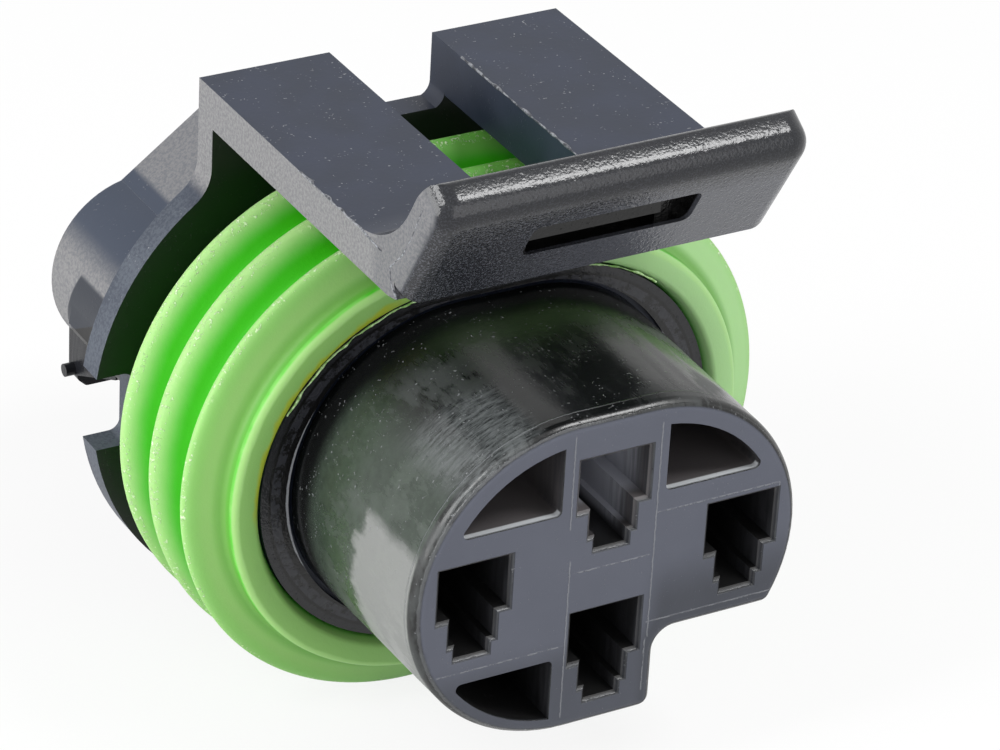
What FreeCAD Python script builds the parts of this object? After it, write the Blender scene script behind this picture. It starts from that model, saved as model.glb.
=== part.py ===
import FreeCAD, Part
import math
import os
from types import SimpleNamespace

import Sketcher

doc = FreeCAD.newDocument("SealedConnector")

# Driving dimensions in millimetres and degrees. X runs across the connector, Y from the
# nose face to the wire end, Z up to the latch; the origin is the middle of the nose face.
dimensions = {
    # oval nose with its key step, on the mating side
    "noseFlat": 2.25, "noseRadius": 10.15, "noseDraft": 1.0, "noseEdge": 0.7,
    "keySide": 3.5, "keyFloor": -5.15, "keyRound": 1.3, "keyTip": 0.7, "keyEnd": 13.2,
    # seat that carries the seal, with a shallow channel round the nose root
    "seatFront": 14.2, "seatFlat": 3.35, "seatRadius": 11.4, "channelWide": 0.55, "channelDeep": 0.6,
    # flange behind the seal, with a notch in each side and the latch tower on top
    "flangeFront": 27.2, "flangeThick": 1.85, "flangeRadius": 15.8,
    "notchHalf": 2.4, "notchReach": 16.6, "notchRound": 0.7,
    "towerHalf": 11.8, "towerRoot": 9.0, "towerRound": 2.6, "latchTop": 19.8,
    "saddleTop": 15.7, "saddleRound": 1.0,
    # latch: two legs with a deeper rail along their inner side, joined by a leaning bar
    "legInner": 3.4, "legFront": 5.1, "legThick": 2.5, "railFront": 7.0, "railThick": 3.3, "railWide": 1.4,
    "barFootY": 4.33, "barFaceTopY": 0.14, "barFaceTopZ": 24.45, "barBackTopY": 2.3, "barBackTopZ": 25.85,
    "barBackFootY": 7.17, "barCorner": 1.6, "barBead": 1.4, "barBackRound": 0.6, "barHeel": 1.4,
    "barRootRound": 7.0,
    "slotHalf": 5.3, "slotLow": 19.68, "slotTop": 22.05, "slotRound": 0.5, "slotBack": 3.3,
    "gapTop": 20.3, "gapBack": 4.9, "scoopX": 3.7, "scoopBack": 3.9,
    # four stepped terminal cavities: one each side, one above and one below
    "cavityHalf": 2.2, "neckHalf": 1.4, "keelHalf": 1.0,
    "cavityTall": 3.28, "neckTall": 5.07, "keelTall": 5.94, "leadIn": 0.25,
    "sideCavityX": 8.65, "sideCavityTop": 2.54, "upperCavityTop": 7.52, "lowerCavityTop": -2.5,
    "cavityEnd": 32.0, "cavityLap": 0.5, "boreRadius": 3.6, "boreMouth": 0.4,
    # three cored-out pockets that keep the nose wall even
    "coreRadius": 8.75, "lowCoreRadius": 9.2, "coreSide": 3.35, "coreFloor": 4.35, "coreTop": -5.15,
    "coreDeep": 9.0, "coreRound": 0.35,
    # rear body: a round lobe about each wire bore
    "rearEnd": 43.0, "lobeRadius": 6.05, "sideLobeX": 8.6, "sideLobeZ": 0.2,
    "upperLobeZ": 5.2, "lowerLobeZ": -4.8, "shoulderX": 10.0, "shoulderZ": 6.1,
    "crownHalf": 2.3, "crownTop": 11.9, "crownRound": 6.4, "webLow": -4.2,
    "rampFront": 35.0, "rampBack": 40.0, "rampTop": 1.9, "rampFoot": -1.3, "rampTopX": 14.3,
    "rampFootX": 14.85,
    "ledgeX": 11.6, "ledgeZ": -3.2, "ledgeFront": 36.5,
    "catchFront": 37.4, "catchBack": 38.8, "catchTop": -3.6, "catchDeep": 0.7, "catchTall": 1.0,
    # seal: three narrow-crested ribs on a sleeve, with a collar in front
    "sealFront": 13.65, "collarRadius": 13.35, "collarBack": 14.9, "crestRadius": 15.73,
    "crestHalf": 0.33, "valleyRadius": 13.75, "crestFirst": 16.25, "ribPitch": 3.8, "ribFoot": 1.4,
    "tailRadius": 12.4,
    # secondary lock: a plate on the wire end with an arm along each side
    "lockThick": 1.3, "lockInset": 1.25, "lockHole": 4.0, "lockSide": 12.84, "lockLow": -7.9,
    "lockSlope": -7.35, "lockSlopeX": 12.25, "lockRound": 0.4, "armThick": 0.95, "armGap": 0.1,
    "armTip": -4.5, "armFront": 37.5, "nubReach": 13.5, "nubY": 43.62, "nubZ": -6.85, "nubRadius": 0.42,
    # cutting outlines run this far past the outside
    "overrun": 3.0,
}
sheet = doc.addObject("Spreadsheet::Sheet", "dims")
for row, (alias, amount) in enumerate(dimensions.items(), start=1):
    sheet.set("A%d" % row, alias)
    sheet.set("B%d" % row, str(amount))
    sheet.setAlias("B%d" % row, alias)
doc.recompute()


class Size:
    """A length that knows its number and the sheet expression that gives it."""

    def __init__(self, number, text):
        self.number, self.text = number, text

    def __add__(self, other):
        return Size(self.number + asSize(other).number, "(%s + %s)" % (self.text, asSize(other).text))

    def __sub__(self, other):
        return Size(self.number - asSize(other).number, "(%s - %s)" % (self.text, asSize(other).text))

    def __mul__(self, factor):
        return Size(self.number * factor, "(%s * %s)" % (self.text, factor))

    def __neg__(self):
        return Size(-self.number, "(0 - %s)" % self.text)


def asSize(amount):
    return amount if isinstance(amount, Size) else Size(amount, str(amount))


slack = 0.02          # how far a point may be from a size that it is matched to
d = SimpleNamespace(**{name: Size(amount, "dims.%s" % name) for name, amount in dimensions.items()})


def drive(thing, prop, size):
    """Bind one property of a feature to the sheet."""
    thing.setExpression(prop, asSize(size).text)


# ---- sketches: every datum constraint is bound to the sheet ----
def sketchOn(body, role, name, offset=0):
    """A sketch on one of the body's origin planes, moved along the axis across that plane."""
    sketch = body.newObject("Sketcher::SketchObject", name)
    sketch.AttachmentSupport = [(next(f for f in body.Origin.OriginFeatures if f.Role == role), "")]
    sketch.MapMode = "FlatFace"
    along = -asSize(offset) if role == "XZ_Plane" else asSize(offset)
    drive(sketch, ".AttachmentOffset.Base.z", along)
    return sketch


def bind(sketch, size, kind, *where):
    """Add a datum constraint of this kind and bind it."""
    index = sketch.addConstraint(Sketcher.Constraint(kind, *where, asSize(size).number))
    sketch.setExpression("Constraints[%d]" % index, asSize(size).text)


def outline(sketch, corners):
    """A closed outline of straight sides; a corner is (x, y) or (x, y, radius)."""
    sizes = [tuple(asSize(c) for c in corner) for corner in corners]
    spots = [FreeCAD.Vector(c[0].number, c[1].number, 0) for c in sizes]
    arrive, leave = [], []
    for i, spot in enumerate(spots):
        back = (spots[i - 1] - spot).normalize()
        ahead = (spots[(i + 1) % len(spots)] - spot).normalize()
        radius = sizes[i][2].number if len(sizes[i]) > 2 else 0
        cut = radius / math.tan(back.getAngle(ahead) / 2)
        arrive.append(spot + back * cut)
        leave.append(spot + ahead * cut)
    sides = [sketch.addGeometry(Part.LineSegment(leave[i - 1], arrive[i]), False)
             for i in range(len(spots))]          # sides[i] ends at corner i
    for i, spot in enumerate(spots):
        before, after = sides[i], sides[(i + 1) % len(spots)]
        if len(sizes[i]) == 2:
            sketch.addConstraint(Sketcher.Constraint("Coincident", before, 2, after, 1))
            bind(sketch, sizes[i][0], "DistanceX", -1, 1, before, 2)
            bind(sketch, sizes[i][1], "DistanceY", -1, 1, before, 2)
            continue
        back = (arrive[i] - spot).normalize()
        ahead = (leave[i] - spot).normalize()
        radius = sizes[i][2].number
        middle = (back + ahead).normalize()
        center = spot + middle * (radius / math.sin(back.getAngle(ahead) / 2))
        arc = Part.Arc(arrive[i], center - middle * radius, leave[i])
        bend = sketch.addGeometry(arc, False)
        turnsLeft = back.cross(ahead).z < 0
        first, last = (1, 2) if turnsLeft else (2, 1)
        corner = sketch.addGeometry(Part.Point(spot), True)
        bind(sketch, sizes[i][0], "DistanceX", -1, 1, corner, 1)
        bind(sketch, sizes[i][1], "DistanceY", -1, 1, corner, 1)
        sketch.addConstraint(Sketcher.Constraint("PointOnObject", corner, 1, before))
        sketch.addConstraint(Sketcher.Constraint("PointOnObject", corner, 1, after))
        sketch.addConstraint(Sketcher.Constraint("Tangent", before, 2, bend, first))
        sketch.addConstraint(Sketcher.Constraint("Tangent", bend, last, after, 1))
        bind(sketch, sizes[i][2], "Radius", bend)
    return sketch


def oval(sketch, flat, radius):
    """Two half circles joined by straights, centred on the sketch's origin."""
    f, r = asSize(flat).number, asSize(radius).number
    up, right = FreeCAD.Vector(0, 1, 0), FreeCAD.Vector(1, 0, 0)
    top = sketch.addGeometry(Part.LineSegment(right * f + up * r, right * -f + up * r), False)
    leftArc = sketch.addGeometry(Part.Arc(right * -f + up * r, right * -(f + r), right * -f - up * r), False)
    base = sketch.addGeometry(Part.LineSegment(right * -f - up * r, right * f - up * r), False)
    rightArc = sketch.addGeometry(Part.Arc(right * f - up * r, right * (f + r), right * f + up * r), False)
    sketch.addConstraint(Sketcher.Constraint("Tangent", top, 2, leftArc, 1))
    sketch.addConstraint(Sketcher.Constraint("Tangent", leftArc, 2, base, 1))
    sketch.addConstraint(Sketcher.Constraint("Tangent", base, 2, rightArc, 1))
    sketch.addConstraint(Sketcher.Constraint("Tangent", rightArc, 2, top, 1))
    sketch.addConstraint(Sketcher.Constraint("Horizontal", top))
    bind(sketch, -asSize(flat), "DistanceX", -1, 1, leftArc, 3)
    bind(sketch, flat, "DistanceX", -1, 1, rightArc, 3)
    bind(sketch, 0, "DistanceY", -1, 1, leftArc, 3)
    bind(sketch, radius, "Radius", leftArc)
    return sketch


def circle(sketch, x, z, radius):
    """One full circle."""
    spot = FreeCAD.Vector(asSize(x).number, asSize(z).number, 0)
    ring = sketch.addGeometry(Part.Circle(spot, FreeCAD.Vector(0, 0, 1), asSize(radius).number), False)
    bind(sketch, x, "DistanceX", -1, 1, ring, 3)
    bind(sketch, z, "DistanceY", -1, 1, ring, 3)
    bind(sketch, radius, "Radius", ring)
    return sketch


# ---- features: each must add or remove material, or the build stops ----
def settle(body, feature, before, adds):
    body.Tip = feature
    doc.recompute()
    if feature.Shape.isNull():
        raise RuntimeError("%s has no shape: %s" % (feature.Name, feature.getStatusString()))
    change = feature.Shape.Volume - before
    if (change <= 0) if adds else (change >= 0):
        raise RuntimeError("%s changed the volume by %.3f" % (feature.Name, change))
    if not feature.Shape.isValid() or len(feature.Shape.Solids) != 1:
        raise RuntimeError("%s is not one valid solid" % feature.Name)
    return feature


def solidVolume(body):
    return body.Tip.Shape.Volume if body.Tip and not body.Tip.Shape.isNull() else 0.0


def pad(body, name, sketch, length, backward=False, midplane=False, draft=None):
    before = solidVolume(body)
    feature = body.newObject("PartDesign::Pad", name)
    feature.Profile = sketch
    drive(feature, "Length", length)
    feature.Reversed = backward
    feature.Midplane = midplane
    if draft is not None:
        drive(feature, "TaperAngle", draft)
    return settle(body, feature, before, adds=True)


def pocket(body, name, sketch, length, backward=False):
    before = solidVolume(body)
    feature = body.newObject("PartDesign::Pocket", name)
    feature.Profile = sketch
    drive(feature, "Length", length)
    feature.Reversed = backward
    return settle(body, feature, before, adds=False)


def edgesWhere(shape, test):
    """Names of the edges whose two ends and middle all pass the test."""
    names = []
    for number, edge in enumerate(shape.Edges, start=1):
        middle = edge.valueAt((edge.FirstParameter + edge.LastParameter) / 2)
        if all(test(p) for p in [middle] + [v.Point for v in edge.Vertexes]):
            names.append("Edge%d" % number)
    return names


def roundEdges(body, name, radius, test, adds=False):
    base, before = body.Tip, solidVolume(body)
    feature = body.newObject("PartDesign::Fillet", name)
    feature.Base = (base, edgesWhere(base.Shape, test))
    drive(feature, "Radius", radius)
    return settle(body, feature, before, adds)


def bevelEdges(body, name, size, test):
    base, before = body.Tip, solidVolume(body)
    feature = body.newObject("PartDesign::Chamfer", name)
    feature.Base = (base, edgesWhere(base.Shape, test))
    drive(feature, "Size", size)
    return settle(body, feature, before, adds=False)


def near(number, size):
    return abs(number - asSize(size).number) < slack


# ---- the housing ----
def rearOutline(body, tag, front, length, inset, radius):
    """The lobed form of the wire end: a crowned block with round lobes at the sides and below."""
    block = outline(sketchOn(body, "XZ_Plane", tag + "BlockSketch", front), [
        (d.shoulderX, d.shoulderZ - inset), (d.crownHalf, d.crownTop - inset, d.crownRound),
        (-d.crownHalf, d.crownTop - inset, d.crownRound), (-d.shoulderX, d.shoulderZ - inset),
        (-d.sideLobeX, d.webLow), (d.sideLobeX, d.webLow)])
    pad(body, tag + "Block", block, length, backward=True)
    for name, x, z in (("Left", -d.sideLobeX, d.sideLobeZ), ("Right", d.sideLobeX, d.sideLobeZ),
                       ("Lower", asSize(0), d.lowerLobeZ)):
        lobe = circle(sketchOn(body, "XZ_Plane", tag + name + "LobeSketch", front), x, z, radius)
        pad(body, tag + name + "Lobe", lobe, length, backward=True)


def makeHousing():
    body = doc.addObject("PartDesign::Body", "ConnectorHousing")
    body.Label = "connector_housing"

    # seal seat and flange
    seat = oval(sketchOn(body, "XZ_Plane", "SeatSketch", d.seatFront), d.seatFlat, d.seatRadius)
    pad(body, "Seat", seat, d.flangeFront - d.seatFront + d.flangeThick, backward=True)
    channel = oval(sketchOn(body, "XZ_Plane", "ChannelSketch", d.seatFront),
                   d.noseFlat, d.noseRadius + d.channelWide)
    pocket(body, "Channel", channel, d.channelDeep)
    flange = oval(sketchOn(body, "XZ_Plane", "FlangeSketch", d.flangeFront), d.seatFlat, d.flangeRadius)
    pad(body, "Flange", flange, d.flangeThick, backward=True)

    # latch tower on the flange, with a low saddle between the legs
    tower = outline(sketchOn(body, "XZ_Plane", "TowerSketch", d.flangeFront), [
        (d.towerHalf, d.towerRoot), (d.towerHalf, d.latchTop), (d.legInner, d.latchTop),
        (d.legInner, d.saddleTop, d.saddleRound), (-d.legInner, d.saddleTop, d.saddleRound),
        (-d.legInner, d.latchTop), (-d.towerHalf, d.latchTop), (-d.towerHalf, d.towerRoot)])
    pad(body, "Tower", tower, d.flangeThick, backward=True)
    towerFoot = math.sqrt(d.flangeRadius.number ** 2 - (d.towerHalf - d.seatFlat).number ** 2)
    roundEdges(body, "TowerFoot", d.towerRound, lambda p: near(abs(p.x), d.towerHalf)
               and near(p.z, towerFoot), adds=True)
    flangeSide = d.seatFlat + d.flangeRadius + d.overrun
    for side in (-1, 1):
        notch = outline(sketchOn(body, "XZ_Plane", "NotchSketch", d.flangeFront), [
            (d.notchReach * side, d.notchHalf, d.notchRound),
            (d.notchReach * side, -d.notchHalf, d.notchRound),
            (flangeSide * side, -d.notchHalf), (flangeSide * side, d.notchHalf)])
        pocket(body, "Notch", notch, d.flangeThick)

    # legs run forward from inside the tower
    legBack = d.flangeFront + d.flangeThick * 0.5
    for side in (-1, 1):
        leg = outline(sketchOn(body, "XY_Plane", "LegSketch", d.latchTop), [
            (d.legInner * side, d.legFront), (d.towerHalf * side, d.legFront),
            (d.towerHalf * side, legBack), (d.legInner * side, legBack)])
        pad(body, "Leg", leg, d.legThick, backward=True)
        rail = outline(sketchOn(body, "XY_Plane", "RailSketch", d.latchTop), [
            (d.legInner * side, d.railFront), ((d.legInner + d.railWide) * side, d.railFront),
            ((d.legInner + d.railWide) * side, legBack), (d.legInner * side, legBack)])
        pad(body, "Rail", rail, d.railThick, backward=True)

    # latch bar: a leaning plate across the legs, its face rounded over into a bead along the top
    legLow = d.latchTop - d.legThick
    bar = outline(sketchOn(body, "YZ_Plane", "BarSketch"), [
        (d.barFootY, legLow), (d.barFaceTopY, d.barFaceTopZ), (d.barBackTopY, d.barBackTopZ),
        (d.barBackFootY, legLow)])
    pad(body, "Bar", bar, d.towerHalf * 2, midplane=True)
    roundEdges(body, "BarCorners", d.barCorner, lambda p: near(abs(p.x), d.towerHalf)
               and p.z > d.barFaceTopZ.number - slack)
    roundEdges(body, "BarFace", d.barBead, lambda p: near(p.z, d.barFaceTopZ) and near(p.y, d.barFaceTopY))
    backMiddle = [(d.barBackTopY + d.barBackFootY) * 0.5, (d.barBackTopZ + legLow) * 0.5]
    back = outline(sketchOn(body, "YZ_Plane", "BarBackSketch", d.towerHalf), [
        (d.barFaceTopY, d.barFaceTopZ), (d.barBackTopY, d.barBackTopZ, d.barBackRound), backMiddle,
        (d.barBackFootY + d.overrun, d.barBackTopZ), (d.barFaceTopY, d.barBackTopZ + d.overrun)])
    pocket(body, "BarBack", back, d.towerHalf * 2)
    for side in (-1, 1):
        heel = outline(sketchOn(body, "XZ_Plane", "BarHeelSketch"), [
            (d.scoopX * side, legLow), (d.towerHalf * side, legLow, d.barHeel),
            (d.towerHalf * side, d.latchTop), ((d.towerHalf + d.overrun) * side, d.latchTop),
            ((d.towerHalf + d.overrun) * side, legLow - d.overrun), (d.scoopX * side, legLow - d.overrun)])
        pocket(body, "BarHeel", heel, d.legFront)
    lean = (d.barBackFootY - d.barBackTopY).number / (d.barBackTopZ - legLow).number
    barRoot = d.barBackFootY.number - lean * d.legThick.number
    roundEdges(body, "BarRoot", d.barRootRound, lambda p: near(p.z, d.latchTop)
               and near(p.y, barRoot), adds=True)

    # slot in the bar's face: shallow, with a deep gap along its foot and a scoop at one end
    slot = outline(sketchOn(body, "XZ_Plane", "SlotSketch"), [
        (d.slotHalf, d.slotLow, d.slotRound), (d.slotHalf, d.slotTop, d.slotRound),
        (-d.slotHalf, d.slotTop, d.slotRound), (-d.slotHalf, d.slotLow, d.slotRound)])
    pocket(body, "Slot", slot, d.slotBack)
    gap = outline(sketchOn(body, "XZ_Plane", "GapSketch"), [
        (d.scoopX, d.slotLow), (d.scoopX, d.gapTop), (d.slotRound - d.slotHalf, d.gapTop),
        (d.slotRound - d.slotHalf, d.slotLow)])
    pocket(body, "Gap", gap, d.gapBack)
    scoop = outline(sketchOn(body, "XZ_Plane", "ScoopSketch"), [
        (d.slotHalf, d.slotLow, d.slotRound), (d.slotHalf, d.slotTop, d.slotRound),
        (d.scoopX, d.slotTop), (d.scoopX, d.slotLow)])
    pocket(body, "Scoop", scoop, d.scoopBack)

    # nose, then its key step and rounded rim
    nose = oval(sketchOn(body, "XZ_Plane", "NoseSketch"), d.noseFlat, d.noseRadius)
    pad(body, "Nose", nose, d.seatFront + d.channelDeep, backward=True, draft=d.noseDraft)
    noseSide = d.noseFlat + d.noseRadius + d.overrun
    key = outline(sketchOn(body, "XZ_Plane", "KeySketch"), [
        (d.keySide, d.keyFloor, d.keyRound), (d.keySide, -noseSide), (noseSide, -noseSide),
        (noseSide, d.keyFloor)])
    pocket(body, "Key", key, d.keyEnd)
    roundEdges(body, "KeyTips", d.keyTip, lambda p: (near(p.x, d.keySide) or near(p.z, d.keyFloor))
               and math.hypot(p.x - d.noseFlat.number, p.z) > d.noseRadius.number - slack
               and p.y < d.keyEnd.number + slack)
    roundEdges(body, "NoseRim", d.noseEdge, lambda p: near(p.y, 0))

    # cored-out pockets in the nose face
    for name, side, up, level, radius in (("UpperLeft", -1, 1, d.coreFloor, d.coreRadius),
                                          ("UpperRight", 1, 1, d.coreFloor, d.coreRadius),
                                          ("LowerLeft", -1, -1, d.coreTop, d.lowCoreRadius)):
        makeCore(body, name, side, up, level, radius)

    # rear body with its snap ramps and the ledges that take the lock's arms
    rearFront = d.flangeFront + d.flangeThick
    rearSide, catchX = d.sideLobeX + d.lobeRadius + d.overrun, d.ledgeX - d.catchDeep
    rearOutline(body, "Rear", rearFront, d.rearEnd - rearFront, asSize(0), d.lobeRadius)
    for side in (-1, 1):
        ramp = outline(sketchOn(body, "XZ_Plane", "RampSketch", d.rampFront), [
            (d.rampTopX * side, d.rampTop), (d.rampFootX * side, d.rampFoot),
            (d.ledgeX * side, d.rampFoot), (d.ledgeX * side, d.rampTop)])
        pad(body, "Ramp", ramp, d.rampBack - d.rampFront, backward=True)
        ledge = outline(sketchOn(body, "XZ_Plane", "LedgeSketch", d.ledgeFront), [
            (d.ledgeX * side, d.ledgeZ), (rearSide * side, d.ledgeZ),
            (rearSide * side, d.ledgeZ - d.lobeRadius), (d.ledgeX * side, d.ledgeZ - d.lobeRadius)])
        pocket(body, "Ledge", ledge, d.rearEnd - d.ledgeFront)
        catch = outline(sketchOn(body, "XZ_Plane", "CatchSketch", d.catchFront), [
            (d.ledgeX * side, d.catchTop), (catchX * side, d.catchTop),
            (catchX * side, d.catchTop - d.catchTall), (d.ledgeX * side, d.catchTop - d.catchTall)])
        pocket(body, "Catch", catch, d.catchBack - d.catchFront)

    # terminal cavities from the face, wire bores from the rear
    for name, x, top in (("Left", -d.sideCavityX, d.sideCavityTop), ("Right", d.sideCavityX, d.sideCavityTop),
                         ("Upper", asSize(0), d.upperCavityTop), ("Lower", asSize(0), d.lowerCavityTop)):
        makeCavity(body, name, x, top)
    for name, x, z in (("Left", -d.sideLobeX, d.sideLobeZ), ("Right", d.sideLobeX, d.sideLobeZ),
                       ("Upper", asSize(0), d.upperLobeZ), ("Lower", asSize(0), d.lowerLobeZ)):
        bore = circle(sketchOn(body, "XZ_Plane", name + "BoreSketch", d.rearEnd), x, z, d.boreRadius)
        pocket(body, name + "Bore", bore, d.rearEnd - d.cavityEnd, backward=True)
    bevelEdges(body, "BoreMouths", d.boreMouth, lambda p: near(p.y, d.rearEnd) and any(
        near(math.hypot(p.x - x, p.z - z), d.boreRadius) for x, z in wireBores))
    return body


def makeCore(body, name, side, up, level, radius):
    """One cored-out pocket: two straight walls and an arc that follows the nose wall."""
    sketch = sketchOn(body, "XZ_Plane", name + "CoreSketch")
    r, f, x0, z0 = radius.number, d.noseFlat.number * side, d.coreSide.number * side, level.number
    a = FreeCAD.Vector(x0, z0, 0)
    b = FreeCAD.Vector(f + side * math.sqrt(r * r - z0 * z0), z0, 0)
    c = FreeCAD.Vector(x0, up * math.sqrt(r * r - (x0 - f) ** 2), 0)
    middle = ((b + c) * 0.5 - FreeCAD.Vector(f, 0, 0)).normalize() * r + FreeCAD.Vector(f, 0, 0)
    floor = sketch.addGeometry(Part.LineSegment(a, b), False)
    wall = sketch.addGeometry(Part.Arc(b, middle, c), False)
    rise = sketch.addGeometry(Part.LineSegment(c, a), False)
    first, last = (1, 2) if side * up > 0 else (2, 1)      # which way round the arc runs
    sketch.addConstraint(Sketcher.Constraint("Coincident", floor, 2, wall, first))
    sketch.addConstraint(Sketcher.Constraint("Coincident", wall, last, rise, 1))
    sketch.addConstraint(Sketcher.Constraint("Coincident", rise, 2, floor, 1))
    sketch.addConstraint(Sketcher.Constraint("Horizontal", floor))
    sketch.addConstraint(Sketcher.Constraint("Vertical", rise))
    bind(sketch, d.coreSide * side, "DistanceX", -1, 1, rise, 2)
    bind(sketch, level, "DistanceY", -1, 1, rise, 2)
    bind(sketch, d.noseFlat * side, "DistanceX", -1, 1, wall, 3)
    bind(sketch, 0, "DistanceY", -1, 1, wall, 3)
    bind(sketch, radius, "Radius", wall)
    pocket(body, name + "Core", sketch, d.coreDeep)
    roundEdges(body, name + "CoreCorners", d.coreRound, lambda p: p.y < d.coreDeep.number + slack and any(
        near(math.hypot(p.x - q.x, p.z - q.y), 0) for q in (a, b)), adds=True)


def makeCavity(body, name, x, top):
    """A terminal cavity: wide at the top, stepping in to a neck and a keel."""
    sketch = outline(sketchOn(body, "XZ_Plane", name + "CavitySketch"), [
        (x + d.cavityHalf, top), (x - d.cavityHalf, top),
        (x - d.cavityHalf, top - d.cavityTall), (x - d.neckHalf, top - d.cavityTall),
        (x - d.neckHalf, top - d.neckTall), (x - d.keelHalf, top - d.neckTall),
        (x - d.keelHalf, top - d.keelTall), (x + d.keelHalf, top - d.keelTall),
        (x + d.keelHalf, top - d.neckTall), (x + d.neckHalf, top - d.neckTall),
        (x + d.neckHalf, top - d.cavityTall), (x + d.cavityHalf, top - d.cavityTall)])
    pocket(body, name + "Cavity", sketch, d.cavityEnd + d.cavityLap)
    bevelEdges(body, name + "LeadIn", d.leadIn, lambda p: near(p.y, 0)
               and abs(p.x - x.number) < d.cavityHalf.number + slack
               and -slack < top.number - p.z < d.keelTall.number + slack)


# ---- the seal ----
def sealSection(body, name, offset, up):
    """The seal's section on a plane across X, above the axis or mirrored below it."""
    section = [(d.sealFront, d.seatRadius), (d.sealFront, d.collarRadius),
               (d.collarBack, d.collarRadius)]
    for rib in range(ribs):
        crest = d.crestFirst + d.ribPitch * rib
        if rib:
            section.append((crest - d.ribPitch * 0.5, d.valleyRadius))
        section += [(crest - d.crestHalf, d.crestRadius), (crest + d.crestHalf, d.crestRadius)]
    section += [(crest + d.ribFoot, d.tailRadius), (d.flangeFront, d.tailRadius),
                (d.flangeFront, d.seatRadius)]
    return outline(sketchOn(body, "YZ_Plane", name, offset), [(y, z * up) for y, z in section])


def makeSeal():
    body = doc.addObject("PartDesign::Body", "InterfaceSeal")
    body.Label = "interface_seal"
    turnEnd(body, "RightEnd", d.seatFlat, backward=False)
    for name, up in (("Upper", 1), ("Lower", -1)):
        pad(body, name + "Run", sealSection(body, name + "RunSection", 0, up), d.seatFlat * 2, midplane=True)
    turnEnd(body, "LeftEnd", -d.seatFlat, backward=True)
    return body


def turnEnd(body, name, offset, backward):
    """Half a turn of the section about the Y direction, for one round end of the oval."""
    sketch, before = sealSection(body, name + "Section", offset, 1), solidVolume(body)
    turn = body.newObject("PartDesign::Revolution", name)
    turn.Profile = sketch
    turn.ReferenceAxis = (sketch, ["H_Axis"])
    drive(turn, "Angle", 180)
    turn.Reversed = backward
    settle(body, turn, before, adds=True)


# ---- the secondary lock ----
def makeLock():
    body = doc.addObject("PartDesign::Body", "SecondaryLock")
    body.Label = "secondary_lock"
    rearOutline(body, "Plate", d.rearEnd, d.lockThick, d.lockInset, d.lobeRadius - d.lockInset)
    skirt = outline(sketchOn(body, "XZ_Plane", "SkirtSketch", d.rearEnd), [
        (d.lockSide, d.ledgeZ - d.armGap), (-d.lockSide, d.ledgeZ - d.armGap),
        (-d.lockSide, d.lockSlope, d.lockRound), (-d.lockSlopeX, d.lockLow, d.lockRound),
        (d.lockSlopeX, d.lockLow, d.lockRound), (d.lockSide, d.lockSlope, d.lockRound)])
    pad(body, "Skirt", skirt, d.lockThick, backward=True)
    armBack = d.rearEnd + d.lockThick * 0.5
    hookRoot, hookTip = d.lockSide - d.armThick * 0.5, d.ledgeX - d.catchDeep + d.armGap
    hookTop, hookLow = d.catchTop - d.armGap, d.catchTop - d.catchTall + d.armGap
    for side in (-1, 1):
        arm = outline(sketchOn(body, "YZ_Plane", "ArmSketch", (d.lockSide - d.armThick) * side), [
            (d.armFront, d.ledgeZ - d.armGap), (armBack, d.ledgeZ - d.armGap),
            (armBack, d.lockSlope), (d.armFront, d.armTip)])
        pad(body, "Arm", arm, d.armThick, backward=(side < 0))
        hook = outline(sketchOn(body, "XZ_Plane", "HookSketch", d.catchFront + d.armGap), [
            (hookRoot * side, hookTop), (hookTip * side, hookTop),
            (hookTip * side, hookLow), (hookRoot * side, hookLow)])
        pad(body, "Hook", hook, d.catchBack - d.catchFront - d.armGap * 2, backward=True)
        nub = circle(sketchOn(body, "YZ_Plane", "NubSketch", hookRoot * side), d.nubY, d.nubZ, d.nubRadius)
        pad(body, "Nub", nub, d.nubReach - hookRoot, backward=(side < 0))
    for name, x, z in (("Left", -d.sideLobeX, d.sideLobeZ), ("Right", d.sideLobeX, d.sideLobeZ),
                       ("Upper", asSize(0), d.upperLobeZ), ("Lower", asSize(0), d.lowerLobeZ)):
        hole = circle(sketchOn(body, "XZ_Plane", name + "HoleSketch", d.rearEnd), x, z, d.lockHole)
        pocket(body, name + "Hole", hole, d.lockThick)
    return body


ribs = 3
wireBores = [(x.number, z.number) for x, z in ((-d.sideLobeX, d.sideLobeZ), (d.sideLobeX, d.sideLobeZ),
                                               (asSize(0), d.upperLobeZ), (asSize(0), d.lowerLobeZ))]
parts = [makeHousing(), makeSeal(), makeLock()]
doc.recompute()

for thing in doc.Objects:
    if "Invalid" in thing.State or "Error" in thing.State:
        raise RuntimeError("%s did not build: %s" % (thing.Label, thing.State))
os.makedirs("parts", exist_ok=True)
for part in parts:
    if part.Shape.isNull() or not part.Shape.isValid():
        raise RuntimeError("%s has no valid shape" % part.Label)
    part.Shape.exportStep("parts/%s.step" % part.Label)
    print(part.Label, round(part.Shape.Volume, 1), "mm3", len(part.Shape.Solids), "solid", part.Shape.BoundBox)
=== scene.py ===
import math
from types import SimpleNamespace

import bmesh
import bpy
from mathutils import Matrix, Vector


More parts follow.
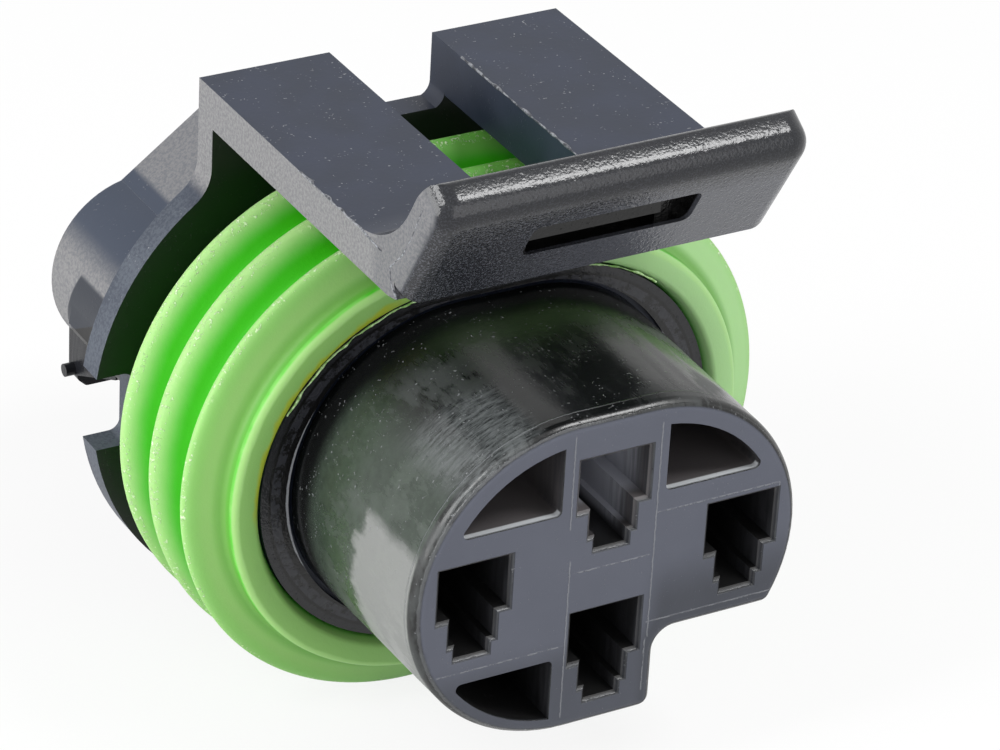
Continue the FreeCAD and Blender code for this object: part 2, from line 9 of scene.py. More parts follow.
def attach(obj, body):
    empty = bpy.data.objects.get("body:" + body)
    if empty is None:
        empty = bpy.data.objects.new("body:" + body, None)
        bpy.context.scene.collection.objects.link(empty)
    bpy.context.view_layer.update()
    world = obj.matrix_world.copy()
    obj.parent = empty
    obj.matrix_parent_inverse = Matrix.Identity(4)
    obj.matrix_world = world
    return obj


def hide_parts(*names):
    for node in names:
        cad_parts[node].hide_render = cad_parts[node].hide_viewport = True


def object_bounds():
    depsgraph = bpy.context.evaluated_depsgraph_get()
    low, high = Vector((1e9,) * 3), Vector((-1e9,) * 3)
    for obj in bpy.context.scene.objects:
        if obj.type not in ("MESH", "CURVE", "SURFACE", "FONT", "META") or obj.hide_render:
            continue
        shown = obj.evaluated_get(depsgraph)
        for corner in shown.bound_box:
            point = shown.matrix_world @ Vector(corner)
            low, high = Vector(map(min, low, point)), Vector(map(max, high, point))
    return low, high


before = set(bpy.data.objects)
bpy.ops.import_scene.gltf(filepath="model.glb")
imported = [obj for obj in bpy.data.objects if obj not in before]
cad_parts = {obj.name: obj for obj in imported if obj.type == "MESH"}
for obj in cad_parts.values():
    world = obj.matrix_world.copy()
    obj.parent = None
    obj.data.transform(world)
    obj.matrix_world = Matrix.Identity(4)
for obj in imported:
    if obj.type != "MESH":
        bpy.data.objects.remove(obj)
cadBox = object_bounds()
mm = 0.001
print("frame loaded")


# a Wire is one shader socket, and an expression on wires adds Math nodes
class Wire:
    def __init__(self, finish, socket):
        self.finish, self.socket = finish, socket

    def do(self, operation, *others, flip=False):
        values = list(others) + [self] if flip else [self] + list(others)
        return self.finish.node("ShaderNodeMath", {"operation": operation}, dict(enumerate(values)))

    def __add__(self, other):
        return self.do("ADD", other)

    def __mul__(self, other):
        return self.do("MULTIPLY", other)

    def __sub__(self, other):
        return self.do("SUBTRACT", other)

    def __rsub__(self, other):
        return self.do("SUBTRACT", other, flip=True)

    def __neg__(self):
        return self.do("MULTIPLY", -1.0)

    def __abs__(self):
        return self.do("ABSOLUTE")

    __radd__, __rmul__ = __add__, __mul__

    def step(self, low, high):          # 0 below low, 1 above high, smooth between
        return self.finish.node("ShaderNodeMapRange", {"interpolation_type": "SMOOTHSTEP"},
                                {"Value": self, "From Min": low, "From Max": high})

    def near(self, centre, half, soft):  # 1 within half of centre, fading out over soft
        return 1 - abs(self - centre).step(half, half + soft)


class Finish:
    def __init__(self, name, holder=None):
        self.material = holder or bpy.data.materials.new(name)
        self.material.use_nodes = True
        self.tree = self.material.node_tree
        self.tree.nodes.clear()

    def node(self, kind, settings=None, sockets=None, out=0):
        made = self.tree.nodes.new(kind)
        for key, value in (settings or {}).items():
            setattr(made, key, value)
        for key, value in (sockets or {}).items():
            if isinstance(value, Wire):
                self.tree.links.new(value.socket, made.inputs[key])
            elif value is not None:
                made.inputs[key].default_value = value
        return Wire(self, made.outputs[out]) if len(made.outputs) else None

    def place(self):                     # object coordinates in millimetres
        at = self.node("ShaderNodeTexCoord", out="Object")
        self.at = self.node("ShaderNodeVectorMath", {"operation": "SCALE"}, {0: at, "Scale": 1 / mm})
        return self.parts(self.at)

    def parts(self, vector):
        split = self.node("ShaderNodeSeparateXYZ", None, {0: vector})
        return [Wire(self, out) for out in split.socket.node.outputs]

    def facing(self):                    # the true surface normal's parts
        return self.parts(self.node("ShaderNodeNewGeometry", out="Normal"))

    def noise(self, size, detail=2.0, rough=0.5, stretch=None):   # size in millimetres
        where = self.at
        if stretch:
            where = self.node("ShaderNodeVectorMath", {"operation": "MULTIPLY"}, {0: where, 1: stretch})
        return self.node("ShaderNodeTexNoise", None, {"Vector": where, "Scale": 1 / size,
                                                      "Detail": detail, "Roughness": rough})

    def blend(self, amount, first, second):     # each of the two a wire or a plain colour
        colors = (color if isinstance(color, Wire) else (*color, 1.0) for color in (first, second))
        return self.node("ShaderNodeMix", {"data_type": "RGBA"}, {0: amount, **dict(zip((6, 7), colors))},
                         out=2)

    def bump(self, height, depth):              # depth in millimetres
        return self.node("ShaderNodeBump", None, {"Height": height, "Distance": depth * mm, "Strength": 1.0})

    def close(self, **sockets):          # the shader, its plain values on its own sockets
        named = {key.replace("_", " "): value for key, value in sockets.items()}
        shader = self.node("ShaderNodeBsdfPrincipled", None, named)
        self.node("ShaderNodeOutputMaterial", None, {"Surface": shader})
        return self.material


sealFlat = 3.35                          # half the straight stretch in the middle of the seal's oval

# housing: its tones, then where each finish begins and ends
plastic = {"slate": (0.008, 0.013, 0.028), "cloud": (0.016, 0.022, 0.042), "side": (0.19, 0.188, 0.19),
           "rim": (0.06, 0.072, 0.092), "lobe": (0.025, 0.034, 0.055), "bar": (0.008, 0.009, 0.012),
           "barLight": (0.064, 0.067, 0.08), "grain": (0.085, 0.09, 0.105), "nose": (0.003, 0.0035, 0.0035),
           "scuff": (0.05, 0.055, 0.055), "greenSheen": (0.04, 0.055, 0.042), "brushedSheen": (0.10, 0.108, 0.11),
           "worn": (0.18, 0.185, 0.18), "face": (0.082, 0.089, 0.118), "faceDark": (0.032, 0.036, 0.048),
           "line": (0.26, 0.27, 0.29), "inside": (0.002, 0.002, 0.0022), "wall": (0.032, 0.033, 0.038),
           "lit": (0.42, 0.43, 0.48), "pocket": (0.085, 0.078, 0.08), "lip": (0.5, 0.52, 0.54),
           "ring": (0.001, 0.001, 0.0012), "band": (0.024, 0.025, 0.031), "dust": (0.30, 0.31, 0.33)}
noseFlat, barLean, rampLean, catchLean = 2.25, 0.58, 0.45, 0.57
# two ends of a soft edge, in mm
marks = {"noseEnd": (14.3, 14.5), "noseSide": (10.55, 10.6), "coreSide": (9.25, 9.31),
         "facePlane": (0.02, 0.1), "mouth": (0.05, 0.2), "ringFront": (9.0, 10.0),
         "ringInner": (9.9, 10.1), "ringOuter": (12.7, 12.8),
         "barRear": (7.0, 8.0), "barFoot": (16.6, 16.9), "legSide": (11.4, 11.6), "legFoot": (10.6, 11.4),
         "flangeRear": (29.7, 29.9), "rampEnd": (40.3, 40.5), "rampTop": (2.0, 2.4),
         "catchTop": (-1.05, -0.85), "catchSide": (9, 10), "catchEnd": (42.5, 42.9),
         "slantFoot": (6.6, 6.9), "rimLow": (-12, -11),
         "rimHigh": (12, 14), "rimInner": (14, 14.5), "rimEdgeInner": (12, 13), "rimEdgeLow": (-3, 2),
         "slotEnd": (5.5, 5.7), "barLeft": (-10, 5), "barTop": (21.5, 23.5), "bead": (22.8, 24.0),
         "behindRim": (0.75, 1.0), "noseCrown": (9.4, 10.2), "scuffEnd": (9.0, 12.0), "greenSheenEnd": (11.5, 13.0),
         "brushEnd": (6.5, 9.0), "wornEnd": (8.2, 9.2), "wornTop": (3.2, 4.2), "faceRight": (2, 4),
         "faceLow": (-3.5, 0.5), "faceFoot": (-6, -3.5), "upperCavity": (1.5, 2.5), "upperSide": (2.6, 2.8),
         "upperFront": (0.6, 2.0), "pocketFoot": (2.0, 3.0), "shallow": (0.5, 4.5), "lipFoot": (2.4, 2.8),
         "lipSide": (3.0, 3.2), "lineLeft": (-2, 2)}
# middle, half width and soft edge of a strip, in mm
strips = {"slotDepth": (1.4, 1.0, 0.15), "slotHeight": (20.85, 1.35, 0.2), "flangeRim": (28.4, 1.3, 0.1),
          "rimEdge": (29.6, 0.12, 0.08), "seat": (27.2, 0.02, 0.05), "rimLine": (1.15, 0.02, 0.05),
          "rimCorner": (0.12, 0.03, 0.06), "pocketLip": (0.3, 0.15, 0.12), "band": (10.45, 0.25, 0.08),
          "outerBand": (11.15, 0.2, 0.06), "ringLine": (9.68, 0.05, 0.06)}
# mould lines on the front face: along x or z, where, from, to, and how broken up each is
faceLines = [("x", 3.05, 2.9, 11.0, 0.8), ("z", 11.0, -0.7, 3.05, 0.2), ("x", -4.2, 2.7, 11.3, 0.5),
             ("x", -4.35, -10.8, -2.7, 0.9), ("z", -2.6, -9.2, 1.2, 0.1), ("z", 2.85, -5.2, 8.9, 0.1),
             ("x", 0.35, -2.4, 2.6, 0.9), ("z", 2.7, -8.8, -5.3, 0.6), ("z", -2.75, 3.3, 9.3, 0.1)]


def ovalRadius(x, z, flat):              # distance from the straight stretch in the middle of an oval
    reach = (abs(x) - flat).do("MAXIMUM", 0.0)
    return (reach * reach + z * z).do("SQRT")


def housingZones(f):                     # masks for the parts of the housing, and the noises they share
    s, m = SimpleNamespace(), marks
    s.x, s.y, s.z = f.place()
    nx, ny, s.up = f.facing()
    s.left = -nx
    s.radius = ovalRadius(s.x, s.z, noseFlat)
    s.cloud = f.noise(4.0, detail=3)
    s.fine = f.noise(0.5, detail=3, rough=0.7)
    s.sand = f.noise(0.2, detail=2, rough=0.7)
    front = 1 - s.y.step(*m["noseEnd"])
    s.forward = (-ny).step(0.6, 0.9)
    s.nose = front * (1 - s.radius.step(*m["noseSide"]))
    s.face = s.nose * s.forward * (1 - s.y.step(*m["facePlane"]))
    s.inside = (1 - s.radius.step(*m["coreSide"])) * s.y.step(*m["mouth"])
    s.barrel = s.nose * (1 - s.face) * (1 - s.inside)
    s.ring = front * s.y.step(*m["ringFront"]) * s.forward * s.radius.step(*m["ringInner"])
    s.ring = s.ring * (1 - s.radius.step(*m["ringOuter"]))
    s.bar = (1 - s.y.step(*m["barRear"])) * s.z.step(*m["barFoot"])
    legs = abs(s.x).step(*m["legSide"]) * s.z.step(*m["legFoot"])
    s.lobe = s.y.step(*m["flangeRear"])
    s.ramp = (1 - (s.y + rampLean * s.z).step(*m["rampEnd"])) * (1 - s.z.step(*m["rampTop"])) * s.lobe
    s.catch = s.lobe * (1 - (s.z + catchLean * (s.y - 38.5)).step(*m["catchTop"]))
    s.catch = s.catch * (-s.x).step(*m["catchSide"]) * (1 - s.y.step(*m["catchEnd"]))
    # sides: the steep faces of the legs and lobes and the slant, where painted light goes
    slant = s.lobe * s.z.step(*m["slantFoot"]) * s.left.near(0.6, 0.04, 0.04)
    sides = abs(nx).step(0.72, 0.95) * (legs + s.lobe * (1 - s.ramp)) + slant * 0.8
    s.sides = sides.do("MINIMUM", 1.0)
    s.grainy = s.bar * (1 - s.sides)
    return s


def rearTone(f, s, color):               # lobes; the flange rim lighter and mottled below its top; painted light on the steep side walls; painted shade on the ramps and the catch
    p, m = plastic, marks
    color = f.blend(s.lobe, color, p["lobe"])
    # the flange rim lighter and mottled below its top
    onRim = s.y.near(*strips["flangeRim"]) * s.z.step(*m["rimLow"]) * s.radius.step(*m["rimInner"])
    rimMottle = 0.35 + 0.65 * (s.sand * 0.6 + s.cloud * 0.4).step(0.42, 0.60)
    color = f.blend(onRim * (1 - s.z.step(*m["rimHigh"])) * rimMottle, color, p["rim"])
    sandy = 0.62 + 0.4 * s.sand.step(0.35, 0.65)
    # painted light on the steep side walls, broken up by sand-like grain
    color = f.blend(s.sides * sandy * (1 - 0.25 * s.bar), color, p["side"])
    # painted shade on the ramps and the catch
    return f.blend((s.ramp * 0.6 + s.catch).do("MINIMUM", 1.0), color, p["inside"])


def barTone(f, s):                       # pebbled bar: painted sheen lighter to the right, grain flecks that also paint glints, painted shade in its slot
    p, m = plastic, marks
    depth = s.y + barLean * (s.z - 17.3) - 4.33
    slot = depth.near(*strips["slotDepth"]) * (1 - abs(s.x).step(*m["slotEnd"]))
    slot = slot * s.z.near(*strips["slotHeight"])
    # painted sheen: the bar's face lighter to the right, below the bead
    lighter = (s.x + s.fine).step(*m["barLeft"]) * (1 - s.z.step(*m["barTop"]))
    color = f.blend(lighter, p["bar"], p["barLight"])
    # light grain flecks: real grain, also painting the glints of the glossy pebbles
    flecks = f.noise(0.11, detail=1).step(0.46, 0.68) * (0.6 - 0.45 * s.z.step(*m["bead"]))
    color = f.blend(flecks, color, p["grain"])
    # painted shade in the slot
    return f.blend(slot, color, p["inside"])


def noseTone(f, s, color):               # scuffs on the barrel; painted greenish sheen on its left side; brushed strokes lightened as a painted highlight on its upper left; painted reflection of white light on its lower left
    p, m = plastic, marks
    streak = f.noise(0.7, detail=4, rough=0.7, stretch=(1.6, 0.35, 0.5))
    strokes = f.noise(0.5, detail=4, rough=0.75, stretch=(0.5, 2.4, 0.5))
    behindRim = s.y.step(*m["behindRim"])
    color = f.blend(s.barrel, color, p["nose"])
    belowCrown = 1 - s.z.step(*m["noseCrown"]) * 0.75
    s.scuffed = s.barrel * belowCrown * (s.cloud + streak * 0.7).step(0.80, 0.98)
    s.scuffed = s.scuffed * (1 - s.y.step(*m["scuffEnd"]))
    color = f.blend(s.scuffed * 0.6, color, p["scuff"])
    # painted greenish sheen on the left-facing side of the barrel, mottled
    greenSheen = s.barrel * s.left.step(0.55, 0.8) * (1 - s.y.step(*m["greenSheenEnd"])) * (0.4 + s.fine)
    color = f.blend(greenSheen * behindRim * 0.8, color, p["greenSheen"])
    # brushed strokes, lightened as a painted highlight where the barrel faces up and left
    brushedSheen = s.barrel * s.left.near(0.50, 0.16, 0.16) * s.up.step(0.3, 0.6)
    brushedSheen = brushedSheen * (1 - (s.y + s.cloud * 3).step(*m["brushEnd"]))
    color = f.blend(brushedSheen * strokes.step(0.25, 0.7), color, p["brushedSheen"])
    # painted reflection of white light on the lower left of the barrel
    wornFront = s.y + streak * 3.0 + (s.z + 1).do("MAXIMUM", 0.0) * 0.2
    s.worn = s.barrel * (1 - wornFront.step(*m["wornEnd"]))
    s.worn = s.worn * (1 - (s.z + streak).step(*m["wornTop"])) * s.left.step(0.3, 0.6)
    return f.blend(s.worn * behindRim, color, p["worn"])


def faceTone(f, s):                      # front face, darker at the lower right and at the foot
    dark = s.x.step(*marks["faceRight"]) * (1 - s.z.step(*marks["faceLow"]))
    dark = (dark + (1 - s.z.step(*marks["faceFoot"])) * 0.7).do("MINIMUM", 1.0)
    return f.blend((dark * 0.8 + s.cloud * 0.3).do("MINIMUM", 1.0), plastic["face"], plastic["faceDark"])


def insideTone(f, s):                    # cavities and pockets: painted shade in the lower cavities, painted light in the upper pockets, on the upper cavity's walls and on left-facing walls near the mouth, and a painted highlight on the pockets' floor lips
    p, m = plastic, marks
    lit = s.inside * s.z.step(*m["upperCavity"]) * (1 - abs(s.x).step(*m["upperSide"]))
    # painted shade in the lower cavities, painted light in the upper pockets
    color = f.blend(s.z.step(*m["pocketFoot"]), p["inside"], p["pocket"])
    # painted light on the upper cavity's walls near the mouth
    color = f.blend(lit * s.y.step(*m["upperFront"]), color, p["lit"])
    # painted light in streaks on the left-facing walls near the mouth
    shallow = s.inside * (1 - s.y.step(*m["shallow"])) * s.left.step(0.5, 0.8)
    bands = f.noise(0.3, detail=2, stretch=(0.1, 1.0, 0.08)).step(0.35, 0.65)
    color = f.blend(shallow * (0.35 + 0.5 * bands), color, p["wall"])
    # painted highlight on the pockets' rounded floor lips
    lip = s.y.near(*strips["pocketLip"]) * s.up.step(0.3, 0.6) * s.z.step(*m["lipFoot"])
    return f.blend(lip * abs(s.x).step(*m["lipSide"]), color, p["lip"])


def ringTone(f, s, color):               # the flat round the root of the nose: painted shade, with painted reflections in mottled bands and a painted highlight on its edge line
    p = plastic
    at = ovalRadius(s.x, s.z, sealFlat) + (s.fine - 0.5) * 0.12
    bands = at.near(*strips["band"]) * s.fine.step(0.35, 0.55) + at.near(*strips["outerBand"]) * 0.45
    # painted shade on the flat, then painted reflections in bands, then a painted highlight on its edge line
    color = f.blend(s.ring, color, p["ring"])
    color = f.blend((s.ring * bands).do("MINIMUM", 1.0), color, p["band"])
    return f.blend(s.ring * at.near(*strips["ringLine"]), color, p["line"])


def mouldLines(s, wander):
    lines, half, soft, ends = None, 0.02, 0.05, 0.1
    for along, at, low, high, broken in faceLines:
        across, run = (s.z, s.x) if along == "x" else (s.x, s.z)
        line = (across + wander).near(at, half, soft) * run.step(low - ends, low + ends)
        line = line * (1 - run.step(high - ends, high + ends))
        line = line * (1 - broken * (1 - s.fine.step(0.42, 0.55)))
        lines = line if lines is None else lines.do("MAXIMUM", line)
    return lines * s.face


def plasticFinish():
    f = Finish("housingPlastic")
    s, p, m = housingZones(f), plastic, marks
    wander = (s.fine - 0.5) * 0.16
    lines = mouldLines(s, wander)
    rimLine = (s.y + wander).near(*strips["rimLine"]) + (s.y + wander).near(*strips["rimCorner"]) * 0.6
    rimLine = s.barrel * rimLine
    speck = f.noise(0.16, detail=0).step(0.72, 0.78) * f.noise(1.1).step(0.5, 0.62)

    color = f.blend(s.cloud.step(0.35, 0.7), p["slate"], p["cloud"])
    color = rearTone(f, s, color)
    color = f.blend(s.grainy, color, barTone(f, s))
    color = noseTone(f, s, color)
    color = f.blend(s.face, color, faceTone(f, s))
    color = f.blend(s.inside, color, insideTone(f, s))
    color = ringTone(f, s, color)
    # painted highlight along the back edge of the flange rim
    rimEdge = s.y.near(*strips["rimEdge"]) * s.radius.step(*m["rimEdgeInner"]) * s.z.step(*m["rimEdgeLow"])
    color = f.blend(rimEdge * 0.6, color, p["line"])
    # painted shadow on the flange's front face where the seal sits
    color = f.blend(s.y.near(*strips["seat"]) * s.forward, color, p["inside"])
    color = f.blend(lines * 0.5, color, p["line"])
    # painted highlight on the nose's rim line, on its left half only
    color = f.blend(rimLine * (-s.x).step(*m["lineLeft"]) * 0.3, color, p["line"])
    tops = (1 - s.nose) * (1 - s.grainy) * (1 - s.ring) * s.up.step(0.2, 0.7) * (1 - 0.7 * s.lobe)
    color = f.blend(speck * (tops * 0.6 + s.barrel * 0.4 + s.face * 0.15), color, p["dust"])

    rough = 0.5 + 0.16 * (s.cloud - 0.5) - s.barrel * (0.28 - 0.25 * s.scuffed - 0.2 * s.worn)
    rough = rough - 0.32 * s.grainy - 0.25 * s.ring + 0.1 * s.sides
    pebble = (f.noise(0.16, detail=1) + 0.5 * f.noise(0.4, detail=1)) * s.grainy
    height = pebble * (0.4 - 0.2 * s.z.step(*m["bead"]))
    height = height + s.fine * (0.12 + 0.2 * s.sides + 0.5 * s.ring + 0.12 * s.scuffed)
    bump = f.bump(height + lines * 0.6 + rimLine * 0.9 + speck * 0.4, 0.07)
    return f.close(Base_Color=color, Roughness=rough, Normal=bump, IOR=1.46)


gloss = {"black": (0.006, 0.006, 0.008), "grey": (0.014, 0.015, 0.018)}


def lockFinish():
    f = Finish("lockPlastic")
    f.place()
    cloud = f.noise(3.0)
    scratch = f.noise(0.4, detail=3, stretch=(1.0, 1.0, 0.2))
    color = f.blend(cloud, gloss["black"], gloss["grey"])
    return f.close(Base_Color=color, Roughness=0.2 + 0.12 * cloud, Normal=f.bump(scratch, 0.03), IOR=1.25)


# seal: its tones, then where each begins and ends
silicone = {"deep": (0.035, 0.42, 0.0005), "pale": (0.33, 0.56, 0.20), "face": (0.21, 0.42, 0.11),
            "far": (0.34, 0.58, 0.25), "dim": (0.10, 0.29, 0.04), "underLatchShade": (0.07, 0.38, 0.015),
            "yellow": (0.33, 0.38, 0.012), "speck": (0.75, 0.9, 0.6)}
sealMarks = {"crest": (14.4, 15.9), "left": (-10, 16), "foot": (3, 13), "latch": (11, 13),
             "front": (15.4, 15.9), "grooveInner": (13.0, 13.2),
             "grooveOuter": (13.9, 14.3), "collar": (14.1, 14.3),
             "stainOuter": (12.0, 12.3), "stainLeft": (5, 8), "stainLow": (-2, 1), "stainEnd": (14.0, 14.4)}
sealStrips = {"latchGap": (0, 4, 3), "groove": (14.6, 0.25, 0.35), "edge": (13.2, 0.1, 0.18),
              "specks": (15.6, 0.15, 0.12)}


def siliconeFinish():
    f = Finish("sealSilicone")
    x, y, z = f.place()
    nx, ny, _ = f.facing()
    t, m = silicone, sealMarks
    radius = ovalRadius(x, z, sealFlat)
    cloud = f.noise(2.2, detail=3)
    fine = f.noise(0.25, detail=3, rough=0.7)
    # crests paler, grooves deeper green: painted light on the crests and painted shade in the grooves
    crest = (radius + (cloud - 0.5) * 0.3).step(*m["crest"])
    color = f.blend(crest, t["deep"], t["pale"])
    # painted shade on the crests along the underside
    color = f.blend((-z).step(*m["foot"]) * crest * 0.5, color, t["dim"])
    # painted shade on the crests under the latch
    color = f.blend(z.step(*m["latch"]) * x.near(*sealStrips["latchGap"]) * crest * 0.75, color, t["underLatchShade"])
    # painted shade on the left of the seal's front, where the light from the left falls, paler to the right
    frontTone = f.blend((x + cloud * 4).step(*m["left"]), t["face"], t["far"])
    onFront = (1 - y.step(*m["front"])) * (-ny).step(0.15, 0.5) * (1 - crest * 0.7 * (-nx).step(-0.1, 0.3))
    color = f.blend(onFront, color, frontTone)
    # painted shade in the groove between the collar and the first rib
    groove = y.near(*sealStrips["groove"]) * radius.step(*m["grooveInner"])
    color = f.blend(groove * (1 - radius.step(*m["grooveOuter"])) * 0.8, color, t["dim"])
    # painted highlight on the collar's rounded edge
    edge = (radius + (cloud - 0.5) * 0.4).near(*sealStrips["edge"]) * (1 - y.step(*m["collar"]))
    color = f.blend(edge * 0.5, color, t["pale"])
    stain = (1 - (radius + (cloud - 0.5) * 1.2).step(*m["stainOuter"])) * (-x).step(*m["stainLeft"])
    stain = stain * z.step(*m["stainLow"]) * (1 - y.step(*m["stainEnd"]))
    color = f.blend(stain * 0.85, color, t["yellow"])
    specks = fine.step(0.56, 0.64) * radius.near(*sealStrips["specks"]) * cloud.step(0.35, 0.55)
    color = f.blend(specks * 0.8, color, t["speck"])
    bump = f.bump(specks * 0.8 + fine * 0.25 + cloud * 0.5, 0.06)
    return f.close(Base_Color=color, Roughness=0.46 + 0.14 * cloud, Normal=bump, IOR=1.38,
                   Subsurface_Weight=0.12, Subsurface_Radius=(0.5, 1.0, 0.25), Subsurface_Scale=0.001)


def flashFinish(name, low, high):
    f = Finish(name)
    f.place()
    patchy = f.noise(0.35, detail=2, rough=0.7)
    color = f.blend(patchy.step(0.35, 0.65), low, high)
    return f.close(Base_Color=color, Roughness=0.3 + 0.2 * patchy, Normal=f.bump(patchy, 0.05), IOR=1.46)


finishes = {"plastic": plasticFinish(), "lock": lockFinish(), "silicone": siliconeFinish(),
            "flash": flashFinish("flashPlastic", (0.03, 0.032, 0.04), (0.24, 0.25, 0.27)),
            "film": flashFinish("flashSilicone", (0.16, 0.34, 0.07), (0.55, 0.75, 0.42))}
print("finishes made")

# moulded parts: a copy of the solid, cleaned and with its edges rounded
edges = {"merge": 0.002, "flat": 0.7, "sharp": 28.0, "round": 0.13, "lip": 0.5, "segments": 3,
         "lockLip": 0.3, "lockArm": 13.4, "legGap": 3.4, "legRear": 28.5, "legFoot": 14, "floorLow": 2.5,
         "floorHigh": 5.5, "floorLong": 3, "same": 0.01, "close": 0.05}


def moulded(node, name, finish, lips=None):
    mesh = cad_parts[node].data.copy()
    mesh.name = name
    mesh.materials.clear()
    form = bmesh.new()
    form.from_mesh(mesh)
    bmesh.ops.remove_doubles(form, verts=form.verts, dist=edges["merge"] * mm)
    bmesh.ops.dissolve_limit(form, angle_limit=math.radians(edges["flat"]), verts=form.verts,
                             edges=form.edges)
    weight = form.edges.layers.float.new("bevel_weight_edge")
    for edge in form.edges:
        if len(edge.link_faces) == 2 and edge.calc_face_angle(0) > math.radians(edges["sharp"]):
            wide = lips(edge) if lips else None
            edge[weight] = (wide or edges["round"]) / edges["lip"]
    for face in form.faces:
        face.smooth = True
        face.material_index = 0
    form.to_mesh(mesh)
    form.free()
    if "custom_normal" in mesh.attributes:
        mesh.attributes.remove(mesh.attributes["custom_normal"])
    mesh.materials.append(finish)
    piece = bpy.data.objects.new(name, mesh)
    bpy.context.scene.collection.objects.link(piece)
    bevel = piece.modifiers.new("rounding", "BEVEL")
    bevel.limit_method, bevel.width = "WEIGHT", edges["lip"] * mm
    bevel.segments, bevel.harden_normals = edges["segments"], True
    piece.data = plain(piece, name)
    piece.modifiers.clear()
    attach(piece, "root")
    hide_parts(node)
    print(name, len(piece.data.polygons), "faces")


def plain(piece, name):
    bpy.context.view_layer.update()
    seen = piece.evaluated_get(bpy.context.evaluated_depsgraph_get())
    mesh = bpy.data.meshes.new_from_object(seen)
    mesh.name = name
    return mesh


def housingEdges(edge):                 # wider rounds on the pocket floors and the legs' rear corners
    e = edges
    (x, y, z), (x2, y2, z2) = (v.co / mm for v in edge.verts)
    level, upright = abs(z - z2) < e["same"], abs(x - x2) < e["same"] and abs(y - y2) < e["same"]
    pocketFloor = max(y, y2) < e["close"] and level and abs(x - x2) > e["floorLong"]
    if pocketFloor and e["floorLow"] < z < e["floorHigh"]:
        return e["lip"]
    if upright and abs(abs(x) - e["legGap"]) < e["close"] and y > e["legRear"] and z > e["legFoot"]:
        return e["lip"]
    return None


def lockEdges(edge):                    # wider rounds on the arms of the lock
    return edges["lockLip"] if max(abs(v.co.x) for v in edge.verts) > edges["lockArm"] * mm else None


moulded("connector_housing", "housingShell", finishes["plastic"], housingEdges)
moulded("secondary_lock", "rearLock", finishes["lock"], lockEdges)

# seal: its section swept round an oval path by geometry nodes
seal = {"flat": sealFlat, "bore": 11.4, "lip": 11.75, "lipRise": 1.1, "front": 13.65, "back": 27.2,
        "collar": 13.38, "soft": 0.45, "corner": 6, "groove": 14.62, "valley": 13.8, "crest": 15.73,
        "firstHeight": 15.6, "firstCrest": 15.87, "pitch": 3.87, "ribs": 3, "ribSteps": 10, "tail": 12.4,
        "chamfer": 0.1, "around": 300}


def sealSection():                      # (radius, y) points round the section
    s = seal
    points = [(s["bore"], s["front"] + s["lipRise"]), (s["lip"], s["front"] + 0.2),
              (s["lip"] + 0.12, s["front"] + 0.04), (s["lip"] + 0.3, s["front"])]
    for k in range(s["corner"] + 1):
        turn = math.pi / 2 * k / s["corner"]
        points.append((s["collar"] - s["soft"] * (1 - math.sin(turn)),
                       s["front"] + s["soft"] * (1 - math.cos(turn))))
    points.append((s["collar"], s["groove"] - 0.12))
    for rib in range(s["ribs"]):
        points += ribPoints(rib)
    points += [(s["tail"], s["back"] - s["chamfer"]), (s["tail"] - s["chamfer"], s["back"]),
               (s["bore"], s["back"])]
    return points


def ribPoints(rib):                     # rounded crest, steeper in front of the first one
    s = seal
    steps, half, first = s["ribSteps"], s["pitch"] / 2, rib == 0
    top = s["firstCrest"] + s["pitch"] * rib
    low, fore = (s["collar"] + 0.06, top - s["groove"]) if first else (s["valley"], half)
    peak = s["firstHeight"] if first else s["crest"]
    points = []
    for k in range(-steps, steps + (rib == s["ribs"] - 1)):
        height = math.cos(math.pi / 2 * k / steps) ** 2
        base, width = (low, fore) if k < 0 else (s["valley"], half)
        points.append((base + (peak - base) * height, top + width * k / steps))
    return points


def adder(tree):
    def add(kind, links=(), **settings):
        node = tree.nodes.new(kind)
        for key, value in settings.items():
            setattr(node, key, value)
        for socket, value in links:
            if hasattr(value, "is_linked"):
                tree.links.new(value, node.inputs[socket])
            else:
                node.inputs[socket].default_value = value
        return node
    return add


def grow(piece, tree, values):          # run the tree on the piece and keep the plain mesh
    made = piece.modifiers.new("grow", "NODES")
    made.node_group = tree
    ids = {item.name: item.identifier for item in tree.interface.items_tree if item.in_out == "INPUT"}
    for name, value in values.items():
        made[ids[name]] = value
    mesh = plain(piece, piece.name)
    piece.modifiers.clear()
    piece.data = mesh


def tidyNormals(mesh):
    form = bmesh.new()
    form.from_mesh(mesh)
    bmesh.ops.recalc_face_normals(form, faces=form.faces)
    for face in form.faces:
        face.smooth = True
    form.to_mesh(mesh)
    form.free()


def newTree(name, inputs):
    tree = bpy.data.node_groups.new(name, "GeometryNodeTree")
    for label, kind in inputs.items():
        tree.interface.new_socket(label, in_out="INPUT", socket_type="NodeSocket" + kind)
    tree.interface.new_socket("Made", in_out="OUTPUT", socket_type="NodeSocketGeometry")
    return tree, adder(tree)


